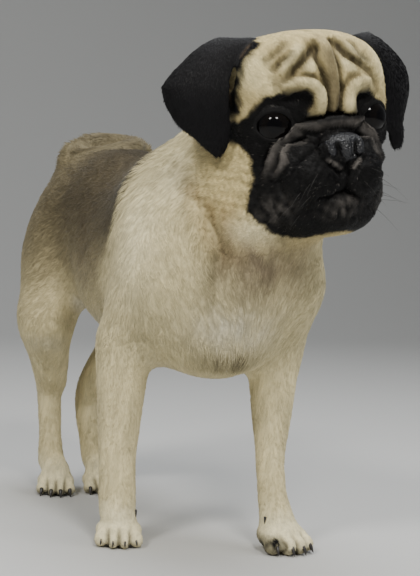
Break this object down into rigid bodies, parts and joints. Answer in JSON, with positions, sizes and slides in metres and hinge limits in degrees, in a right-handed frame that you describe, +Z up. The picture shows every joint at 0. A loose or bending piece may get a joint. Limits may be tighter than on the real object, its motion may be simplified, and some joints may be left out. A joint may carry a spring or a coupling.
{
  "type": "pug dog figure",
  "caption": "Life-size still model of a standing pug: stocky body on straight legs, broad wrinkled head tilted a little, folded ears, short muzzle and a curled tail.",
  "frame": {"origin": "middle of the floor under the outer box of the dog", "axes": "-Y to the front, where the dog's body faces; +X to the dog's left; +Z up"},
  "size_m": [0.1948, 0.3888, 0.3768],
  "materials": {
    "fawn_coat": "short smooth coat, brownish fawn with a dark saddle",
    "cream_coat": "short smooth coat, pale fawn",
    "black_ear": "thin soft ear with very short black hair",
    "nose_leather": "moist black nose",
    "eye_gloss": "very dark brown, wet gloss"
  },
  "bodies": {
    "root": {"torso": "fawn_coat", "tail": "fawn_coat", "neck": "cream_coat", "head": "cream_coat", "nose": "nose_leather", "eye_left": "eye_gloss", "eye_right": "eye_gloss", "ear_left": "black_ear", "ear_right": "black_ear", "foreleg_left": "cream_coat", "foreleg_right": "cream_coat", "hindleg_left": "cream_coat", "hindleg_right": "cream_coat", "forepaw_left": "cream_coat", "forepaw_right": "cream_coat", "hindpaw_left": "cream_coat", "hindpaw_right": "cream_coat"}
  },
  "joints": []
}
